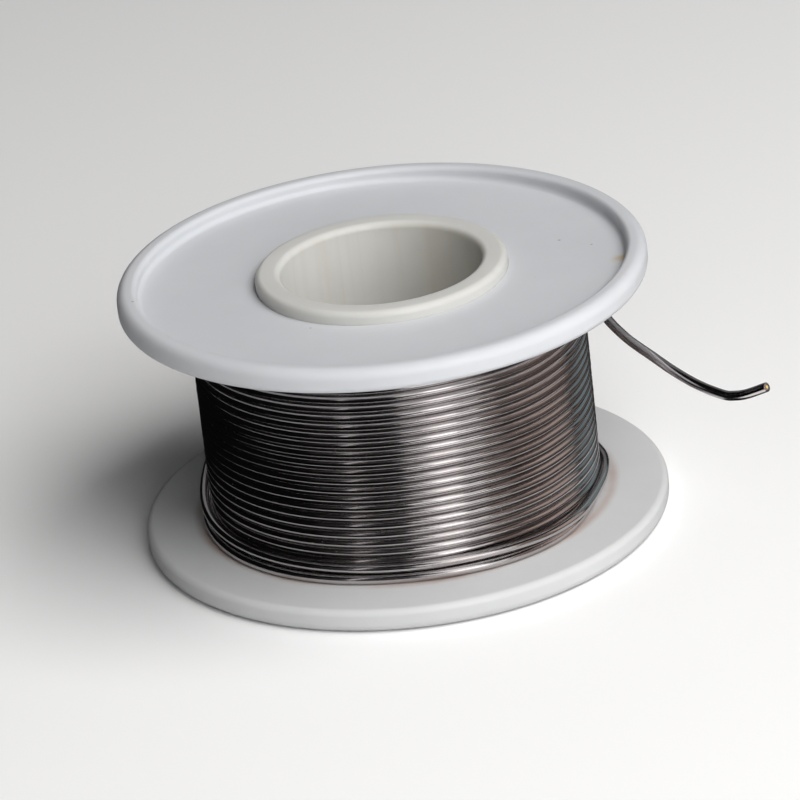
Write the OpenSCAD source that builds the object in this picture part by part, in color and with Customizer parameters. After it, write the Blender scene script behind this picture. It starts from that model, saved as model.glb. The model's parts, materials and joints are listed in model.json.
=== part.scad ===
// A small spool of rosin-core solder wire.
// A stepped hub tube carries two rimmed flanges. Seven nested layers of round wire are wound
// between them, and the last turn climbs over the winding and leaves as a bent free end.
// The spool stands on its lower flange: the axis is +Z and the lower rim is at z = 0.

/* [Flanges] */
// Outside diameter of each flange
flange_d = 55; // [50:0.5:60]
// Clear height between the two flanges
flange_gap = 24; // [24:0.1:27]
// Thickness of a flange at its rim
rim_t = 2.55; // [2.2:0.05:3.5]
// Width of the raised rim
rim_w = 2.25; // [1.8:0.05:3]
// Radius on the rim's two outer edges
rim_edge_r = 1.1; // [0.6:0.05:1.1]
// Depth of the outer panel below the rim
panel_recess = 1.4; // [0.8:0.1:1.6]

/* [Hub tube] */
// Diameter of the bore
bore_d = 20.9; // [16:0.1:22]
// Diameter of the spigots that the flanges sit on
spigot_d = 26.2; // [25.5:0.1:26.6]
// Diameter of the barrel between the flanges
barrel_d = 28.3; // [27.6:0.05:28.5]
// Radius on the inner and outer edges of the tube's two ends
hub_edge_r = 0.6; // [0.2:0.05:0.6]

/* [Wire] */
// Diameter of the wire
wire_d = 1.0; // [0.9:0.01:1]
// Diameter of the flux core inside the wire
core_d = 0.36; // [0.3:0.01:0.5]
// Axial distance from one turn to the next
wire_pitch = 1.005; // [1.005:0.005:1.02]
// Radial distance from one nested layer to the next
layer_step = 0.885; // [0.87:0.005:0.9]

/* [Hidden] */

WHITE = "#dcdedf";
IVORY = "#e6e2d8";
SOLDER = "#77757a";
ROSIN = "#b8863a";

spool_h = flange_gap + 2 * rim_t;
seat_gap = 0.03;     // glue line between a flange and the tube
hub_end_drop = 0.05; // the tube's ends sit this much inside the rims
arc_steps = 6;       // segments in each rounded edge

// Every layer lies in the hollows of the one below it, half a turn's width higher or lower.
turns = 23;
layer_count = 7;
layer_1_r = barrel_d / 2 + wire_d / 2 + 0.04;
layer_7_r = layer_1_r + (layer_count - 1) * layer_step;
winding_base_z = rim_t + wire_d / 2 + 0.02;
web_t = 0.24;        // thickness of the web that joins the turns of one layer

// Stations of the last turn, by hand: azimuth in degrees, distance outside the seventh
// layer and height above the lower flange, both in mm.
// It starts beside the lower flange, goes round loosely once, steps over its own start,
// settles beside the winding again and climbs across the back to the point where it leaves.
LAST_TURN = [
    [-33, 1.00, 0.53], [-46, 1.62, 0.53], [-60, 1.75, 0.53], [-78, 1.42, 0.53],
    [-96, 1.22, 0.53], [-120, 1.42, 0.53], [-142, 1.45, 0.53], [-165, 1.15, 0.53],
    [-200, 0.98, 0.53], [-270, 0.97, 0.53], [-318, 0.97, 0.53], [-333, 1.00, 0.60],
    [-348, 1.05, 0.80], [-354, 1.08, 1.05], [-360, 1.08, 1.25], [-368, 1.02, 1.48],
    [-380, 1.05, 1.55], [-388, 1.30, 1.55], [-397, 1.70, 1.55], [-410, 1.82, 1.55],
    [-422, 1.50, 1.55], [-430, 1.20, 1.55], [-440, 1.00, 1.55], [-465, 0.96, 1.55],
    [-510, 0.99, 1.60], [-528, 1.08, 1.95], [-546, 1.09, 2.75], [-582, 1.09, 6.65],
    [-618, 1.09, 11.55], [-654, 1.09, 16.15], [-681, 1.09, 18.65], [-708, 1.09, 19.55]
];
turn_step = 9;       // degrees from one ring of the last turn to the next

// Points of the free end, by hand, after the point where it leaves the winding.
// Their heights are above the lower flange too.
TAIL_ROUTE = [
    [21.60, -0.60, 19.55], [22.65, -5.70, 19.45], [23.95, -10.20, 19.45],
    [25.10, -12.95, 19.35], [26.15, -15.15, 19.25], [28.10, -18.75, 18.85],
    [30.25, -21.70, 18.35], [32.50, -23.90, 18.00], [33.60, -24.80, 18.15],
    [34.75, -25.60, 18.55], [36.70, -26.90, 19.65]
];
wire_sides = 8;
core_sides = 6;
pivot_gap = 0.02;    // clearance between the last turn's end and the free end's ball

// Points of an arc, from angle a to angle b.
function arc(centre, r, a, b) =
    [for (i = [0:arc_steps]) let (t = a + (b - a) * i / arc_steps) centre + r * [cos(t), sin(t)]];

// A point at a radius, azimuth and height.
function at(azimuth, r, z) = [r * cos(azimuth), r * sin(azimuth), z];

// The last turn's radius and height at an azimuth: a smooth curve through its stations.
function turn_span(azimuth, i = 0) =
    (i + 2 == len(LAST_TURN) || azimuth >= LAST_TURN[i + 1].x) ? i : turn_span(azimuth, i + 1);
function turn_slope(i) =
    let (a = LAST_TURN[max(i - 1, 0)], c = LAST_TURN[min(i + 1, len(LAST_TURN) - 1)]) (c - a) / (c.x - a.x);
function turn_point(azimuth) =
    let (
        i = turn_span(azimuth),
        b = LAST_TURN[i],
        c = LAST_TURN[i + 1],
        span = c.x - b.x,
        t = (azimuth - b.x) / span,
        u = 1 - t,
        p = b * (1 + 2 * t) * u * u + c * (1 + 2 * u) * t * t
            + span * (turn_slope(i) * t * u * u - turn_slope(i + 1) * t * t * u)
    )
    at(azimuth, layer_7_r + p.y, rim_t + p.z);

turn_start = LAST_TURN[0].x;
turn_end = LAST_TURN[len(LAST_TURN) - 1].x;
turn_line = [for (azimuth = [turn_start:-turn_step:turn_end + turn_step]) turn_point(azimuth)];
tail_pivot = turn_point(turn_end);
tail_line = concat([tail_pivot], [for (p = TAIL_ROUTE) p + [0, 0, rim_t]]);

// The last turn stops short of the ball on the free end.
turn_run_in = tail_pivot - turn_line[len(turn_line) - 1];
turn_stop = tail_pivot - turn_run_in / norm(turn_run_in) * (wire_d / 2 + pivot_gap);
last_turn_line = concat(turn_line, [turn_stop]);

// The direction of a line at its point i.
function heading(line, i) =
    let (v = line[min(i + 1, len(line) - 1)] - line[max(i - 1, 0)]) v / norm(v);

// One ring of a tube: corners around point i, kept level with the Z axis.
function ring(line, i, r, sides) =
    let (
        along = heading(line, i),
        side = cross(along, [0, 0, 1]) / norm(cross(along, [0, 0, 1])),
        up = cross(side, along)
    )
    [for (k = [0:sides - 1]) let (t = 360 * (k + 0.5) / sides) line[i] + r * (side * cos(t) + up * sin(t))];

// A round solid that follows a line of points.
module swept(line, r, sides) {
    last = len(line) - 1;
    corners = [for (i = [0:last]) each ring(line, i, r, sides)];
    walls = [
        for (i = [0:last - 1], k = [0:sides - 1])
            let (n = (k + 1) % sides)
            each [
                [i * sides + k, i * sides + n, (i + 1) * sides + n],
                [i * sides + k, (i + 1) * sides + n, (i + 1) * sides + k]
            ]
    ];
    start_cap = [[for (k = [sides - 1:-1:0]) k]];
    end_cap = [[for (k = [0:sides - 1]) last * sides + k]];
    polyhedron(points = corners, faces = concat(walls, start_cap, end_cap), convexity = 8);
}

// Half section of a flange that lies on its outer side: rounded rim, sunk panel, flat inner face.
module flange_section() {
    inner_r = spigot_d / 2 + seat_gap;
    outer_r = flange_d / 2;
    crest_r = outer_r - rim_w;
    step_r = 0.4;
    polygon(concat(
        [[inner_r, panel_recess], [inner_r, rim_t], [outer_r - 0.4, rim_t]],
        arc([outer_r - 0.4, rim_t - 0.4], 0.4, 90, 0),
        arc([outer_r - rim_edge_r, rim_edge_r], rim_edge_r, 0, -90),
        arc([crest_r + step_r, step_r], step_r, -90, -180),
        arc([crest_r - step_r, panel_recess - step_r], step_r, 0, 90)
    ));
}

module flange() {
    color(WHITE) rotate_extrude($fn = 180) flange_section();
}

// Each flange has a flat inner face, and shows its sunk panel and rim on the outside.
module lower_flange() {
    flange();
}

module upper_flange() {
    translate([0, 0, spool_h]) mirror([0, 0, 1]) flange();
}

// The tube's ends stand up as a raised ring round the bore.
// The barrel is thicker, and its two shoulders set the distance between the flanges.
module hub_tube() {
    bore_r = bore_d / 2;
    spigot_r = spigot_d / 2;
    low = hub_end_drop;
    high = spool_h - hub_end_drop;
    e = hub_edge_r;
    color(IVORY) rotate_extrude($fn = 180) polygon(concat(
        arc([bore_r + e, low + e], e, 180, 270),
        arc([spigot_r - e, low + e], e, -90, 0),
        [[spigot_r, rim_t], [barrel_d / 2, rim_t]],
        [[barrel_d / 2, spool_h - rim_t], [spigot_r, spool_h - rim_t]],
        arc([spigot_r - e, high - e], e, 0, 90),
        arc([bore_r + e, high - e], e, 90, 180)
    ));
}

// One layer of the winding: its turns side by side, joined by a thin web through their middles.
module winding_layer(number) {
    r = layer_1_r + (number - 1) * layer_step;
    base_z = winding_base_z + (number % 2) * wire_pitch / 2;
    color(SOLDER) rotate_extrude($fn = 180) {
        for (i = [0:turns - 1]) {
            translate([r, base_z + i * wire_pitch]) circle(d = wire_d, $fn = 32);
        }
        translate([r - web_t / 2, base_z]) square([web_t, (turns - 1) * wire_pitch]);
    }
}

// The proud last turn, from the lower flange to the point where the wire leaves the winding.
module last_turn() {
    color(SOLDER) swept(last_turn_line, wire_d / 2, wire_sides);
}

// The free end, with a channel for the flux core that opens at its cut end.
module wire_tail() {
    color(SOLDER) {
        translate(tail_pivot) sphere(d = wire_d, $fn = 12);
        difference() {
            swept(tail_line, wire_d / 2, wire_sides);
            flux_line(0.5);
        }
    }
}

// The flux core's own line, carried past the cut end by some length.
module flux_line(past_end) {
    last = len(tail_line) - 1;
    inside = [for (i = [1:last - 1]) tail_line[i]];
    tip = tail_line[last] + heading(tail_line, last) * past_end;
    swept(concat(inside, [tip]), core_d / 2, core_sides);
}

module flux_core() {
    color(ROSIN) flux_line(0);
}

hub_tube();
upper_flange();
lower_flange();
winding_layer(1);  // winding_layer_1
winding_layer(2);  // winding_layer_2
winding_layer(3);  // winding_layer_3
winding_layer(4);  // winding_layer_4
winding_layer(5);  // winding_layer_5
winding_layer(6);  // winding_layer_6
winding_layer(7);  // winding_layer_7
last_turn();
wire_tail();
flux_core();
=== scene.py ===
"""A small spool of rosin-core solder wire: two rimmed flanges, a hub tube and a wound wire."""
import json
import math

import bpy
import numpy as np
from mathutils import Matrix, Vector


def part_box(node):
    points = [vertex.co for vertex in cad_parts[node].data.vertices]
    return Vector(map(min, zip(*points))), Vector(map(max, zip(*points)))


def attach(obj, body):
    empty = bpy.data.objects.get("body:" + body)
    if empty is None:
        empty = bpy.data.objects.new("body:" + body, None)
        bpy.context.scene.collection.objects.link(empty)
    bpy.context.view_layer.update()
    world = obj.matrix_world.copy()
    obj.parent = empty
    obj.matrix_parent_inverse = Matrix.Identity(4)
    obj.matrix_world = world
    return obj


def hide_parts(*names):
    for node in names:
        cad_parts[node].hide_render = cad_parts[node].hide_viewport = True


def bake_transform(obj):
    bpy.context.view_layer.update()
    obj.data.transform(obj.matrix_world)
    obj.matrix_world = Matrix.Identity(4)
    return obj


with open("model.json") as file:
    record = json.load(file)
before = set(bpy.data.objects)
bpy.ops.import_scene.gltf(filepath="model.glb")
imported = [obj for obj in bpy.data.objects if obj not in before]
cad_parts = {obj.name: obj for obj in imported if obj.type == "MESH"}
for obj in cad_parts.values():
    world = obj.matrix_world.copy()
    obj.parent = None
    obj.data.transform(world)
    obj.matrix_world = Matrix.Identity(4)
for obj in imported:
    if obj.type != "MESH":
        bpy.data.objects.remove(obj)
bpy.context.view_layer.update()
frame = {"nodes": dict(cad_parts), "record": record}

MM = 0.001

# ---------------------------------------------------------------- dimensions, from the frame
LOWER_LOW, LOWER_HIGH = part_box("lower_flange")
_, UPPER_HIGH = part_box("upper_flange")
HUB_LOW, HUB_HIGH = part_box("hub_tube")
_, OUTER_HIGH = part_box("winding_layer_7")
BORE = next(m for m in frame["record"]["mounts"] if m["name"] == "bore")

FLANGE_R = LOWER_HIGH.x
RIM_T = LOWER_HIGH.z - LOWER_LOW.z
SPOOL_H = UPPER_HIGH.z
BORE_R = BORE["dims"]["r_mm"] * MM
SPIGOT_R = 13.1 * MM
SPIGOT_GAP = 0.03 * MM              # between a spigot and the flange on it
BARREL_R = HUB_HIGH.x
HUB_EDGE_R = 0.7 * MM
RIM_CREST_W = 1.545 * MM            # from the flange's outside to the step down to its panel
RIM_EDGE_R = 1.1 * MM
RIM_INNER_EDGE_R = 0.7 * MM         # the rim's edge on the winding's side
PANEL_RECESS = 1.4 * MM
PANEL_STEP_R = 0.55 * MM            # each of the two curves of the step down to the panel

WIRE_R = 0.5 * MM
WIRE_PITCH = 1.005 * MM
LAYER_STEP = 0.885 * MM
LAYERS = 7
OUTER_LAYER_R = OUTER_HIGH.x - WIRE_R
OUTER_LAYER_TOP = OUTER_HIGH.z - WIRE_R
OUTER_TURNS = 23
STEP_ARC = 24                       # degrees in which a turn steps down to the next one
SWELL = 0.08 * MM                   # how far the outermost layer stands out where it swells
SWELL_AZIMUTH = -5

# Stations of the last turn, as in the CAD source: azimuth in degrees, distance outside the
# outermost layer and height above the lower flange, both in mm.
LAST_TURN = [
    (-33, 1.00, 0.53), (-46, 1.62, 0.53), (-60, 1.75, 0.53), (-78, 1.42, 0.53),
    (-96, 1.22, 0.53), (-120, 1.42, 0.53), (-142, 1.45, 0.53), (-165, 1.15, 0.53),
    (-200, 0.98, 0.53), (-270, 0.97, 0.53), (-318, 0.97, 0.53), (-333, 1.00, 0.60),
    (-348, 1.05, 0.80), (-354, 1.08, 1.05), (-360, 1.08, 1.25), (-368, 1.02, 1.48),
    (-380, 1.05, 1.55), (-388, 1.30, 1.55), (-397, 1.70, 1.55), (-410, 1.82, 1.55),
    (-422, 1.50, 1.55), (-430, 1.20, 1.55), (-440, 1.00, 1.55), (-465, 0.96, 1.55),
    (-510, 0.99, 1.60), (-528, 1.08, 1.95), (-546, 1.09, 2.75), (-582, 1.09, 6.65),
    (-618, 1.09, 11.55), (-654, 1.09, 16.15), (-681, 1.09, 18.65), (-708, 1.09, 19.55),
]
# Points of the free end, as in the CAD source, in mm. Heights are above the lower flange.
TAIL_ROUTE = [
    (21.60, -0.60, 19.55), (22.65, -5.70, 19.45), (23.95, -10.20, 19.45),
    (25.10, -12.95, 19.35), (26.15, -15.15, 19.25), (28.10, -18.75, 18.85),
    (30.25, -21.70, 18.35), (32.50, -23.90, 18.00), (33.60, -24.80, 18.15),
    (34.75, -25.60, 18.55), (36.70, -26.90, 19.65),
]
# How far a turn of the outermost layer is from its even height on the way round, in mm, at an
# azimuth in degrees. It hangs a little on the right and falls to the next turn round the back.
TURN_FALL = [
    (-33, -0.22), (-50, -0.22), (-72, 0.03), (-100, -0.03), (-140, -0.14), (-375, -1.225),
    (-393, -1.225),
]
LAST_STEP_FALL = -0.3 * MM          # the most that the turn above the lowest one falls
LOWEST_FALL = -0.6 * MM             # the most that the lowest turn falls
# How far outside the layer its lowest turn is as it climbs out to become the last turn, in mm.
CLIMB_OUT = [(-33, 0.0), (-363, 0.0), (-381, 0.50), (-393, 1.00), (-406, 1.62)]
JOINT_RUN_IN = 6                    # degrees of the last turn that belong to the free end's piece

TURNED_SEGMENTS = 288               # round the plastic pieces
LAYER_SIDES = 14                    # round the outermost layer's wire
LOOSE_SIDES = 18                    # round the last turn's and the free end's wire
LAST_TURN_STEP = 2                  # degrees between two points of the last turn
TAIL_STEP = 0.4 * MM                # between two points of the free end

CAMERA_PLACE = (0, -0.5298, 0.2495)
CAMERA_TARGET = (0.0004, 0, 0.0133)
CAMERA_ROLL = -6.47                 # degrees
CAMERA_LENS = 250.4                 # mm, on a 36 mm sensor
WORLD_STRENGTH = 0.003
FLOOR_SIZE = 6
FLOOR_DROP = 0.02 * MM              # keeps the floor off the rim that stands on it
CARD_GAP = 10 * MM                  # between the flange and a card on the bench
CARD_LIFT = 0.2 * MM

WHITE_LIGHT = (1.0, 0.99, 0.98)
FRONT_LIGHT = (1.0, 0.975, 0.965)
RIGHT_LIGHT = (1.0, 0.82, 0.74)


# ---------------------------------------------------------------- camera, floor and light
def aim(obj, place, target, roll=0.0):
    """Puts obj at place, looking along its -Z at target, turned about its view by roll degrees."""
    forward = (Vector(target) - Vector(place)).normalized()
    right = forward.cross(Vector((0, 0, 1))).normalized()
    up = right.cross(forward)
    turn = math.radians(roll)
    side = math.cos(turn) * right + math.sin(turn) * up
    top = -math.sin(turn) * right + math.cos(turn) * up
    turned = Matrix((side, top, -forward)).transposed()
    obj.matrix_world = Matrix.Translation(place) @ turned.to_4x4()


def make_camera():
    data = bpy.data.cameras.new("camera")
    data.sensor_width = 36
    data.lens = CAMERA_LENS
    data.clip_start = 0.01
    camera = bpy.data.objects.new("camera", data)
    bpy.context.scene.collection.objects.link(camera)
    aim(camera, CAMERA_PLACE, CAMERA_TARGET, CAMERA_ROLL)
    bpy.context.scene.camera = camera


def area_light(name, size, power, colour):
    """A rectangular area light in the scene, not yet placed."""
    data = bpy.data.lights.new(name, "AREA")
    data.shape = "RECTANGLE"
    data.size, data.size_y = size
    data.energy = power
    data.color = colour
    light = bpy.data.objects.new(name, data)
    bpy.context.scene.collection.objects.link(light)
    return light


def make_light(name, azimuth, elevation, distance, size, power, colour=(1, 1, 1), seen_in="gloss"):
    """A light that faces the spool from an azimuth and elevation in degrees.

    seen_in is "matt" for a fill light without a highlight, or "gloss" for a reflector card that
    only shows in glossy surfaces.
    """
    light = area_light(name, size, power, colour)
    light.visible_glossy = seen_in != "matt"
    light.visible_diffuse = seen_in != "gloss"
    a, e = math.radians(azimuth), math.radians(elevation)
    away = Vector((math.cos(e) * math.cos(a), math.cos(e) * math.sin(a), math.sin(e)))
    centre = Vector((0, 0, SPOOL_H / 2))
    aim(light, centre + distance * away, centre)


def make_bench_card(name, azimuth, size, power, colour):
    """A reflector card that lies on the bench and shows in the undersides of the turns."""
    card = area_light(name, size, power, colour)
    card.visible_camera = False
    card.visible_diffuse = False
    card.rotation_euler = (math.pi, 0, math.radians(azimuth))
    card.location = at(azimuth, FLANGE_R + CARD_GAP + size[0] / 2, CARD_LIFT)


def make_lights():
    make_light("window_high", -37, 56, 0.65, (0.72, 0.45), 4.6, WHITE_LIGHT, "matt")
    make_light("window_low", -66, 24, 0.65, (0.75, 0.40), 2.6, seen_in="matt")
    make_light("front_low", -67, 15, 0.75, (0.62, 0.43), 0.74, FRONT_LIGHT)
    make_light("front_tall", -66, 38, 0.50, (0.15, 0.70), 0.42, FRONT_LIGHT)
    make_light("left_card", -115, 20, 0.80, (0.80, 0.50), 0.030, (1.0, 0.86, 0.90))
    make_light("strip_left", -121, 30, 0.75, (0.04, 0.74), 0.095, (1.0, 0.95, 0.95))
    make_light("warm_card", -27, 20, 0.80, (0.48, 0.60), 0.19, (1.0, 0.76, 0.66))
    make_light("pale_card", 6, 20, 0.80, (0.46, 0.60), 0.39, RIGHT_LIGHT)
    make_light("cool_card", 44, 20, 0.80, (0.45, 0.60), 0.21, (0.76, 0.95, 1.0))
    make_light("back_card", 85, 32, 0.80, (0.85, 0.60), 0.32)
    make_bench_card("bench_front", -65, (0.15, 0.035), 0.0185, FRONT_LIGHT)
    make_bench_card("bench_right", 0, (0.15, 0.12), 0.0080, RIGHT_LIGHT)


def make_world():
    world = bpy.data.worlds.new("studio")
    bpy.context.scene.world = world
    world.use_nodes = True
    background = world.node_tree.nodes["Background"]
    background.inputs["Color"].default_value = (1, 1, 1, 1)
    background.inputs["Strength"].default_value = WORLD_STRENGTH
    bpy.context.scene.view_settings.view_transform = "Standard"


def make_floor():
    bpy.ops.mesh.primitive_plane_add(size=FLOOR_SIZE, location=(0, 0, -FLOOR_DROP))
    floor = bpy.context.object
    floor.name = "floor"
    floor.data.materials.append(floor_material())
    floor.visible_glossy = False


# ---------------------------------------------------------------- node helpers
class Nodes:
    """Short names for the shader nodes that the materials use."""

    def __init__(self, name):
        self.material = bpy.data.materials.new(name)
        self.material.use_nodes = True
        self.tree = self.material.node_tree
        self.surface = self.tree.nodes["Principled BSDF"]

    @classmethod
    def over(cls, material):
        """The nodes of a material that exists already."""
        nodes = cls.__new__(cls)
        nodes.material = material
        nodes.tree = material.node_tree
        nodes.surface = nodes.tree.nodes["Principled BSDF"]
        return nodes

    def put(self, value, socket):
        if isinstance(value, bpy.types.NodeSocket):
            self.tree.links.new(value, socket)
        else:
            socket.default_value = value

    def set(self, **values):
        for key, value in values.items():
            self.put(value, self.surface.inputs[key.replace("_", " ")])

    def place(self):
        return self.tree.nodes.new("ShaderNodeTexCoord").outputs["Object"]

    def uv(self):
        return self.tree.nodes.new("ShaderNodeTexCoord").outputs["UV"]

    def stretched(self, vector, scale, turn=(0, 0, 0)):
        node = self.tree.nodes.new("ShaderNodeMapping")
        self.put(vector, node.inputs["Vector"])
        node.inputs["Scale"].default_value = scale
        node.inputs["Rotation"].default_value = turn
        return node.outputs["Vector"]

    def noise(self, vector, scale, detail=3.0, roughness=0.5):
        node = self.tree.nodes.new("ShaderNodeTexNoise")
        self.put(vector, node.inputs["Vector"])
        node.inputs["Scale"].default_value = scale
        node.inputs["Detail"].default_value = detail
        node.inputs["Roughness"].default_value = roughness
        return node.outputs["Fac"]

    def cells(self, vector, scale):
        node = self.tree.nodes.new("ShaderNodeTexVoronoi")
        self.put(vector, node.inputs["Vector"])
        node.inputs["Scale"].default_value = scale
        return node.outputs["Distance"], node.outputs["Color"]

    def ramp(self, value, low, high, to_low=0.0, to_high=1.0):
        """value from low..high, eased, to to_low..to_high."""
        node = self.tree.nodes.new("ShaderNodeMapRange")
        node.interpolation_type = "SMOOTHSTEP"
        for key, number in (("Value", value), ("From Min", low), ("From Max", high),
                            ("To Min", to_low), ("To Max", to_high)):
            self.put(number, node.inputs[key])
        return node.outputs["Result"]

    def math(self, operation, a, b=0.0):
        node = self.tree.nodes.new("ShaderNodeMath")
        node.operation = operation
        self.put(a, node.inputs[0])
        self.put(b, node.inputs[1])
        return node.outputs[0]

    def mix(self, factor, a, b):
        node = self.tree.nodes.new("ShaderNodeMix")
        node.data_type = "RGBA"
        self.put(factor, node.inputs["Factor"])
        self.put(a, node.inputs[6])
        self.put(b, node.inputs[7])
        return node.outputs[2]

    def split(self, vector):
        node = self.tree.nodes.new("ShaderNodeSeparateXYZ")
        self.put(vector, node.inputs[0])
        return node.outputs

    def bump(self, height, distance, strength=1.0, below=None):
        node = self.tree.nodes.new("ShaderNodeBump")
        self.put(height, node.inputs["Height"])
        node.inputs["Distance"].default_value = distance
        node.inputs["Strength"].default_value = strength
        if below is not None:
            self.put(below, node.inputs["Normal"])
        return node.outputs["Normal"]

    def distance_to(self, point):
        node = self.tree.nodes.new("ShaderNodeVectorMath")
        node.operation = "DISTANCE"
        self.put(self.place(), node.inputs[0])
        node.inputs[1].default_value = point
        return node.outputs["Value"]

    def radius(self):
        """Distance from the spool's axis."""
        x, y, _ = self.split(self.place())
        return self.math("SQRT", self.math("ADD", self.math("MULTIPLY", x, x), self.math("MULTIPLY", y, y)))

    def band(self, value, centre, half_width):
        """1 where value is centre, falling to 0 at half_width on either side."""
        off = self.math("ABSOLUTE", self.math("SUBTRACT", value, centre))
        return self.ramp(off, 0.0, half_width, 1.0, 0.0)


def rgba(r, g, b):
    return (r, g, b, 1.0)


# ---------------------------------------------------------------- materials
def floor_material():
    n = Nodes("pale_floor")
    soft = n.noise(n.place(), 3.0, 2.0)
    n.set(Base_Color=n.mix(soft, rgba(0.93, 0.93, 0.93), rgba(0.96, 0.96, 0.96)))
    n.set(Roughness=n.ramp(soft, 0.3, 0.7, 0.75, 0.85))
    return n.material


def scratches(n, turn, threshold):
    """Fine hairline scuffs in one direction."""
    lines = n.noise(n.stretched(n.place(), (60, 5200, 900), (0, 0, turn)), 1.0, 2.0, 0.55)
    patches = n.noise(n.place(), 150.0, 2.0)
    return n.math("MULTIPLY", n.ramp(lines, threshold, threshold + 0.05), n.ramp(patches, 0.48, 0.66))


def plastic_material(name, light, shade, painted_shade_rings=(), stain=None, marks=()):
    """Satin moulded plastic: faint mottling, orange peel, hairline scuffs, a few dark specks and rings of
    painted shade.

    A ring of painted shade is (radius, half width, least, most, tint), a stain (place, size, tint)
    and a mark (place, size).
    """
    n = Nodes(name)
    mottle = n.noise(n.place(), 95.0, 3.0)
    colour = n.mix(n.ramp(mottle, 0.3, 0.7), rgba(*light), rgba(*shade))
    fine = n.noise(n.place(), 1400.0, 2.0)
    scuffs = n.math("MAXIMUM", scratches(n, 0.5, 0.66), scratches(n, 2.1, 0.67))

    spots, kinds = n.cells(n.place(), 190.0)
    picked = n.ramp(n.split(kinds)[0], 0.955, 0.96)
    specks = n.math("MULTIPLY", n.ramp(spots, 0.02, 0.045, 1.0, 0.0), picked)
    colour = n.mix(n.math("MULTIPLY", specks, 0.75), colour, rgba(0.16, 0.13, 0.11))

    # Rings of painted shade: darker bands round the axis where shade falls, at the spigot's foot and beside
    # the winding.
    for radius, half_width, least, most, tint in painted_shade_rings:
        patchy = n.ramp(mottle, 0.25, 0.75, least, most)
        painted_shade_mask = n.math("MULTIPLY", n.band(n.radius(), radius, half_width), patchy)
        colour = n.mix(painted_shade_mask, colour, rgba(*tint))
    if stain is not None:
        place, size, tint = stain
        ragged = n.noise(n.place(), 900.0, 4.0)
        stray = n.math("MULTIPLY", n.math("SUBTRACT", ragged, 0.5), 1.6 * MM)
        reach = n.math("ADD", n.distance_to(place), stray)
        colour = n.mix(n.ramp(reach, 0.15 * MM, size, 0.62, 0.0), colour, rgba(*tint))
    for place, size in marks:
        mark = n.ramp(n.distance_to(place), 0.4 * size, size, 0.7, 0.0)
        colour = n.mix(mark, colour, rgba(0.22, 0.19, 0.16))

    rough = n.math("ADD", n.ramp(mottle, 0.3, 0.7, 0.36, 0.46), n.math("MULTIPLY", scuffs, 0.16))
    peel = n.bump(fine, 0.006 * MM, 0.6)
    n.set(Base_Color=colour, Roughness=rough, Normal=n.bump(scuffs, 0.004 * MM, 0.5, peel))
    n.set(Subsurface_Weight=0.16, Subsurface_Radius=(1.0, 0.85, 0.7), Subsurface_Scale=1.2 * MM)
    n.set(Specular_IOR_Level=0.5)
    return n.material


def ivory_material():
    """The hub's warmer plastic, with painted shade darkening the bore towards +x and faint streaks down the
    bore.
    """
    material = plastic_material("ivory_plastic", (0.61, 0.61, 0.585), (0.58, 0.575, 0.55))
    n = Nodes.over(material)
    clean = n.surface.inputs["Base Color"].links[0].from_socket
    x, _, _ = n.split(n.place())
    inside = n.ramp(n.radius(), BORE_R + 0.05 * MM, BORE_R + 0.5 * MM, 1.0, 0.0)
    streaks = n.noise(n.stretched(n.place(), (900, 900, 25)), 1.0, 3.0)
    # Painted shade: the bore wall grows darker and browner towards +x; the streaks are the plastic's own
    # random tone.
    bore_shade_and_streaks = n.math("ADD", n.ramp(x, -4 * MM, 9 * MM, 0.0, 0.22), n.ramp(streaks, 0.45, 0.75, 0.0, 0.14))
    n.set(Base_Color=n.mix(n.math("MULTIPLY", inside, bore_shade_and_streaks), clean, rgba(0.47, 0.41, 0.30)))
    return material


def solder_material(name, has_uv=True):
    """Drawn tin-lead wire: fine lines along it, patchy shine and a faint tarnish."""
    n = Nodes(name)
    if has_uv:
        vector = n.uv()
        drawn = n.noise(n.stretched(vector, (9.0, 160.0, 1.0)), 1.0, 4.0, 0.6)
        patches = n.noise(n.stretched(vector, (3.0, 130.0, 1.0)), 1.0, 3.0)
        nicks = n.noise(n.stretched(vector, (14.0, 1900.0, 1.0)), 1.0, 2.0)
    else:
        vector = n.place()
        drawn = n.noise(n.stretched(vector, (500, 500, 9000)), 1.0, 3.0)
        patches = n.noise(vector, 160.0, 3.0)
        nicks = n.noise(vector, 2000.0, 2.0)
    tarnish = n.ramp(patches, 0.42, 0.72, 0.0, 0.55)
    clean = n.mix(n.ramp(drawn, 0.3, 0.7), rgba(0.56, 0.535, 0.54), rgba(0.66, 0.635, 0.635))
    n.set(Base_Color=n.mix(tarnish, clean, rgba(0.44, 0.40, 0.395)), Metallic=1.0)
    worn = n.math("MULTIPLY", n.ramp(nicks, 0.62, 0.74), 0.08)
    n.set(Roughness=n.math("ADD", n.ramp(patches, 0.3, 0.75, 0.13, 0.22), worn))
    lines = n.bump(drawn, 0.001 * MM, 0.3)
    n.set(Normal=n.bump(n.ramp(nicks, 0.66, 0.76), -0.004 * MM, 0.4, lines))
    return n.material


def rosin_material():
    n = Nodes("rosin")
    cloud = n.noise(n.place(), 2500.0, 3.0)
    n.set(Base_Color=n.mix(cloud, rgba(0.60, 0.36, 0.09), rgba(0.74, 0.50, 0.20)))
    n.set(Roughness=n.ramp(cloud, 0.3, 0.7, 0.18, 0.32), Subsurface_Weight=0.4)
    n.set(Subsurface_Scale=0.3 * MM, Subsurface_Radius=(1.0, 0.6, 0.25))
    n.set(Normal=n.bump(cloud, 0.02 * MM, 0.4))
    return n.material


# ---------------------------------------------------------------- turned plastic pieces
def arc(centre, r, a, b, steps=12):
    """Points of an arc from angle a to angle b, in degrees."""
    angles = [math.radians(a + (b - a) * i / steps) for i in range(steps + 1)]
    return [(centre[0] + r * math.cos(t), centre[1] + r * math.sin(t)) for t in angles]


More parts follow.
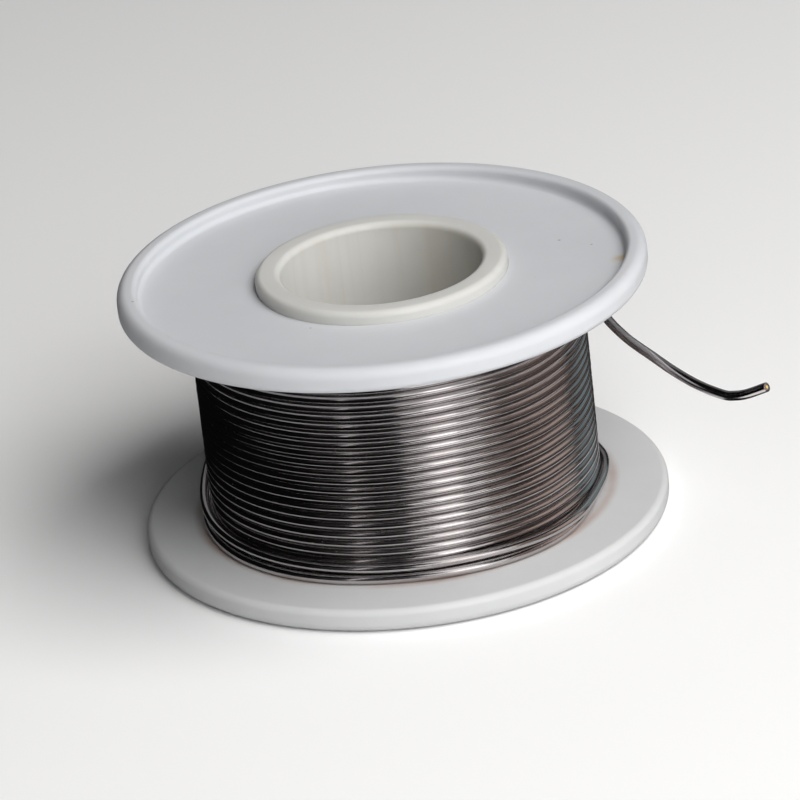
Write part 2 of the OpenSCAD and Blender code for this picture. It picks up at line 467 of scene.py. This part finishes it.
def turned(name, section, material, segments=TURNED_SEGMENTS):
    """A closed half section of (radius, height) points, turned about the spool's axis."""
    count = len(section)
    radii = np.array([p[0] for p in section])
    heights = np.array([p[1] for p in section])
    angles = np.arange(segments) * 2 * math.pi / segments
    points = np.stack([np.outer(np.cos(angles), radii), np.outer(np.sin(angles), radii),
                       np.tile(heights, (segments, 1))], axis=2).reshape(-1, 3)
    faces = []
    for i in range(segments):
        j = (i + 1) % segments
        for k in range(count):
            m = (k + 1) % count
            faces.append((i * count + k, j * count + k, j * count + m, i * count + m))
    return finished(name, points, faces, material)


def finished(name, points, faces, material, smooth_angle=35):
    """An object from points and faces, with outward normals, smooth where it is round."""
    mesh = bpy.data.meshes.new(name)
    mesh.from_pydata([tuple(p) for p in points], [], faces)
    mesh.materials.append(material)
    obj = bpy.data.objects.new(name, mesh)
    bpy.context.scene.collection.objects.link(obj)
    bpy.context.view_layer.objects.active = obj
    obj.select_set(True)
    bpy.ops.object.mode_set(mode="EDIT")
    bpy.ops.mesh.select_all(action="SELECT")
    bpy.ops.mesh.normals_make_consistent(inside=False)
    bpy.ops.object.mode_set(mode="OBJECT")
    bpy.ops.object.shade_smooth_by_angle(angle=math.radians(smooth_angle))
    obj.select_set(False)
    return obj


def flange_section():
    """Half section of a flange, as (radius, height above its outer side)."""
    inner_r = SPIGOT_R + SPIGOT_GAP
    inner_edge = RIM_INNER_EDGE_R
    step = PANEL_STEP_R
    foot_r = FLANGE_R - RIM_CREST_W - 2 * step
    section = [(inner_r, PANEL_RECESS), (inner_r, RIM_T)]
    section += arc((FLANGE_R - inner_edge, RIM_T - inner_edge), inner_edge, 90, 0)
    section += arc((FLANGE_R - RIM_EDGE_R, RIM_EDGE_R), RIM_EDGE_R, 0, -90)
    section += arc((foot_r + 2 * step, step), step, -90, -180)
    section += arc((foot_r, PANEL_RECESS - step), step, 0, 90)
    return section


def make_flanges(material, upper_material):
    section = flange_section()
    lower = turned("flange_below", section, material)
    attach(lower, "spool")
    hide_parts("lower_flange")
    upper = turned("flange_above", [(r, SPOOL_H - z) for r, z in section], upper_material)
    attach(upper, "spool")
    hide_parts("upper_flange")


def make_hub(material):
    low, high, e = HUB_LOW.z, HUB_HIGH.z, HUB_EDGE_R
    section = arc((BORE_R + e, low + e), e, 180, 270)
    section += arc((SPIGOT_R - e, low + e), e, -90, 0)
    section += [(SPIGOT_R, RIM_T), (BARREL_R, RIM_T)]
    section += [(BARREL_R, SPOOL_H - RIM_T), (SPIGOT_R, SPOOL_H - RIM_T)]
    section += arc((SPIGOT_R - e, high - e), e, 0, 90)
    section += arc((BORE_R + e, high - e), e, 90, 180)
    hub = turned("hub", section, material)
    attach(hub, "spool")
    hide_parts("hub_tube")


# ---------------------------------------------------------------- the wire
def at(azimuth, r, z):
    """A point from azimuth in degrees, radius and height."""
    t = math.radians(azimuth)
    return Vector((r * math.cos(t), r * math.sin(t), z))


def ease(t):
    t = min(max(t, 0.0), 1.0)
    return t * t * (3 - 2 * t)


def smooth(a, b, c, d, t):
    """A value between b and c on the smooth curve through a, b, c and d."""
    return (b + t * (c - a) / 2 + t * t * (a - 2.5 * b + 2 * c - d / 2)
            + t ** 3 * (d - a + 3 * (b - c)) / 2)


def through(stations, azimuth):
    """The values at an azimuth on the smooth curve through stations, whose azimuths fall."""
    last = len(stations) - 1
    i = max([k for k in range(last) if azimuth <= stations[k][0]], default=0)
    b, c = np.array(stations[i]), np.array(stations[i + 1])

    def slope(k):
        before, after = np.array(stations[max(k - 1, 0)]), np.array(stations[min(k + 1, last)])
        return (after - before) / (after[0] - before[0])

    span = c[0] - b[0]
    t = (azimuth - b[0]) / span
    u = 1 - t
    value = b * (1 + 2 * t) * u * u + c * (1 + 2 * u) * t * t
    return (value + span * (slope(i) * t * u * u - slope(i + 1) * t * t * u))[1:]


def last_turn_point(azimuth):
    """The last turn's centre at an azimuth, in metres."""
    out, height = through(LAST_TURN, azimuth)
    return at(azimuth, OUTER_LAYER_R + out * MM, RIM_T + height * MM)


def curve_through(points, step):
    """Points about step apart on the smooth curve through the given points."""
    line = []
    for i in range(len(points) - 1):
        a, b = points[max(i - 1, 0)], points[i]
        c, d = points[i + 1], points[min(i + 2, len(points) - 1)]
        parts = max(2, round((c - b).length / step))
        line += [Vector([smooth(*four, k / parts) for four in zip(a, b, c, d)]) for k in range(parts)]
    return line + [points[-1]]


def looseness(azimuth, number):
    """How far a turn strays from its even place, as (radius, height), because it was wound by machine."""
    t = math.radians(azimuth)
    wave = math.sin(2 * t + 1.7 * number) + 0.6 * math.sin(5 * t + 2.9 * number)
    lift = math.sin(3 * t + 2.3 * number) + 0.5 * math.sin(7 * t + 1.1 * number)
    return 0.006 * MM * wave, 0.008 * MM * lift


def outer_layer_line(per_turn=144):
    """The outermost layer, from its top turn down.

    It swells a little on the right. The lowest turn climbs out over its last 30 degrees to meet the
    start of the last turn, and the turn above it steps down just before that.
    """
    start, _, seat = LAST_TURN[0]
    line = []
    for i in range(OUTER_TURNS * per_turn + 1):
        turned_by = 360 * i / per_turn
        number = min(int(turned_by // 360), OUTER_TURNS - 1)
        azimuth = start - (turned_by - 360 * number)
        into_step = ease((start - 360 + STEP_ARC - azimuth) / STEP_ARC)
        fall = through(TURN_FALL, azimuth)[0] * MM
        stray_r, stray_z = looseness(azimuth, number)
        swell = max(0.0, math.cos(math.radians(azimuth - SWELL_AZIMUTH))) ** 2
        level = OUTER_LAYER_TOP - number * WIRE_PITCH
        r = OUTER_LAYER_R + SWELL * swell + stray_r
        z = level + fall + stray_z
        if number == OUTER_TURNS - 2:
            z = level - into_step * WIRE_PITCH + max(fall, LAST_STEP_FALL) * (1 - into_step)
        if number == OUTER_TURNS - 1:
            r = OUTER_LAYER_R + max(0.0, through(CLIMB_OUT, azimuth)[0]) * MM
            z = max(level + max(fall, LOWEST_FALL), RIM_T + seat * MM)
        if turned_by < STEP_ARC:
            r -= LAYER_STEP * (1 - ease(turned_by / STEP_ARC))
        line.append(at(azimuth, r, z))
    return line


def wire(name, line, sides, material, along=0.0, cap_start=False, cut_end=False):
    """A wire that follows line. Its UV runs round it in x and along it, in metres, in y."""
    centres = np.array([list(p) for p in line])
    heading = np.gradient(centres, axis=0)
    heading /= np.linalg.norm(heading, axis=1)[:, None]
    side = np.cross(heading, (0.0, 0.0, 1.0))
    side /= np.linalg.norm(side, axis=1)[:, None]
    up = np.cross(side, heading)
    angles = (np.arange(sides) + 0.5) * 2 * math.pi / sides
    ring = np.cos(angles)[None, :, None] * side[:, None] + np.sin(angles)[None, :, None] * up[:, None]
    points = (centres[:, None] + WIRE_R * ring).reshape(-1, 3)
    steps = np.linalg.norm(np.diff(centres, axis=0), axis=1)
    lengths = along + np.concatenate([[0], np.cumsum(steps)])
    faces = []
    places = []
    for i in range(len(line) - 1):
        for k in range(sides):
            m = (k + 1) % sides
            faces.append((i * sides + k, i * sides + m, (i + 1) * sides + m, (i + 1) * sides + k))
            this, next_one = k / sides, (k + 1) / sides
            near, far = lengths[i], lengths[i + 1]
            places += [(this, near), (next_one, near), (next_one, far), (this, far)]
    mesh = bpy.data.meshes.new(name)
    if cap_start:
        faces.append(tuple(range(sides - 1, -1, -1)))
        places += [(0.5, lengths[0])] * sides
    if cut_end:
        points, faces, places = with_cut_end(
            points, faces, places, centres[-1], heading[-1], sides, lengths[-1])
    mesh.from_pydata([tuple(p) for p in points], [], faces)
    layer = mesh.uv_layers.new(name="wire")
    layer.data.foreach_set("uv", [value for pair in places for value in pair])
    mesh.materials.append(material)
    obj = bpy.data.objects.new(name, mesh)
    bpy.context.scene.collection.objects.link(obj)
    bpy.context.view_layer.objects.active = obj
    obj.select_set(True)
    bpy.ops.object.shade_smooth_by_angle(angle=math.radians(50))
    obj.select_set(False)
    return obj, float(lengths[-1])


def with_cut_end(points, faces, places, centre, heading, sides, length):
    """Closes the end of a wire: a rolled edge, the cut face and the mouth of the core's channel."""
    last = points[-sides:] - centre
    # Each ring as (share of the wire's radius, distance past the wire's last point).
    rings = [(0.97, 0.05 * MM), (0.88, 0.08 * MM), (0.40, 0.06 * MM), (0.36, -0.25 * MM)]
    grown = [points]
    for scale, forward in rings:
        grown.append(centre + last * scale + heading * forward)
    base = len(points) - sides
    for i in range(len(rings)):
        for k in range(sides):
            m = (k + 1) % sides
            low, high = base + i * sides, base + (i + 1) * sides
            faces.append((low + k, low + m, high + m, high + k))
            places += [(k / sides, length), ((k + 1) / sides, length)] * 2
    floor_ring = base + len(rings) * sides
    faces.append(tuple(floor_ring + k for k in range(sides)))
    places += [(0.5, length)] * sides
    return np.concatenate(grown), faces, places


def make_wire(material, inner_material):
    """The outer layer, the last turn and the free end, one wire in three pieces."""
    for number in range(1, LAYERS):
        node = frame["nodes"][f"winding_layer_{number}"]
        node.data.materials.clear()
        node.data.materials.append(inner_material)

    outer, wound = wire("outer_layer", outer_layer_line(), LAYER_SIDES, material, cap_start=True)
    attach(outer, "spool")
    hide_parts("winding_layer_7")

    start, leave = LAST_TURN[0][0], LAST_TURN[-1][0]
    hand_over = leave + JOINT_RUN_IN
    count = round((start - hand_over) / LAST_TURN_STEP)
    turn_line = [last_turn_point(start + (hand_over - start) * i / count) for i in range(count + 1)]
    turn, turned_length = wire("last_turn_wire", turn_line, LOOSE_SIDES, material, along=wound)
    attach(turn, "loose_turn")
    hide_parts("last_turn")

    pivot = last_turn_point(leave)
    stub = [last_turn_point(hand_over + (leave - hand_over) * i / 3) for i in range(3)]
    tail_points = [pivot] + [Vector(p) * MM + Vector((0, 0, RIM_T)) for p in TAIL_ROUTE]
    tail_line = stub + curve_through(tail_points, TAIL_STEP)
    tail_line[-1] = tail_line[-2].lerp(tail_line[-1], 0.75)    # room for the cut's rolled edge
    tail, ended = wire("free_end_wire", tail_line, LOOSE_SIDES, material, along=turned_length, cut_end=True)
    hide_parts("wire_tail")
    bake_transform(tail)
    core = frame["nodes"]["flux_core"]
    core.data.materials.clear()
    core.data.materials.append(rosin_material())


# ---------------------------------------------------------------- the scene
make_camera()
make_wire(solder_material("solder"), solder_material("solder_inner", has_uv=False))
panel_z = SPOOL_H - PANEL_RECESS    # the upper flange's panel
specks = [
    ((18.7 * MM, 3.6 * MM, panel_z), 0.22 * MM),
    ((21.9 * MM, 1.5 * MM, panel_z), 0.18 * MM),
    ((-7.8 * MM, -12.0 * MM, panel_z), 0.15 * MM),
    ((-25.7 * MM, -3.2 * MM, SPOOL_H), 0.20 * MM),
]
yellow_stain = ((24.6 * MM, -3.05 * MM, panel_z), 1.35 * MM, (0.50, 0.37, 0.17))
# Painted shade: a darker ring in the crease at the foot of the hub's spigot.
painted_crease_shade = (SPIGOT_R, 0.35 * MM, 0.10, 0.32, (0.52, 0.49, 0.44))
# Painted shade: a brown ring on the lower flange where the winding stands on it.
painted_winding_shade = (OUTER_LAYER_R + 1.7 * MM, 1.0 * MM, 0.12, 0.62, (0.30, 0.16, 0.10))
make_flanges(
    plastic_material("white_plastic", (0.60, 0.605, 0.61), (0.575, 0.58, 0.585),
                     (painted_crease_shade, painted_winding_shade)),
    plastic_material("white_plastic_marked", (0.60, 0.61, 0.635), (0.57, 0.585, 0.61),
                     (painted_crease_shade,), yellow_stain, specks),
)
make_hub(ivory_material())
make_floor()
make_lights()
make_world()
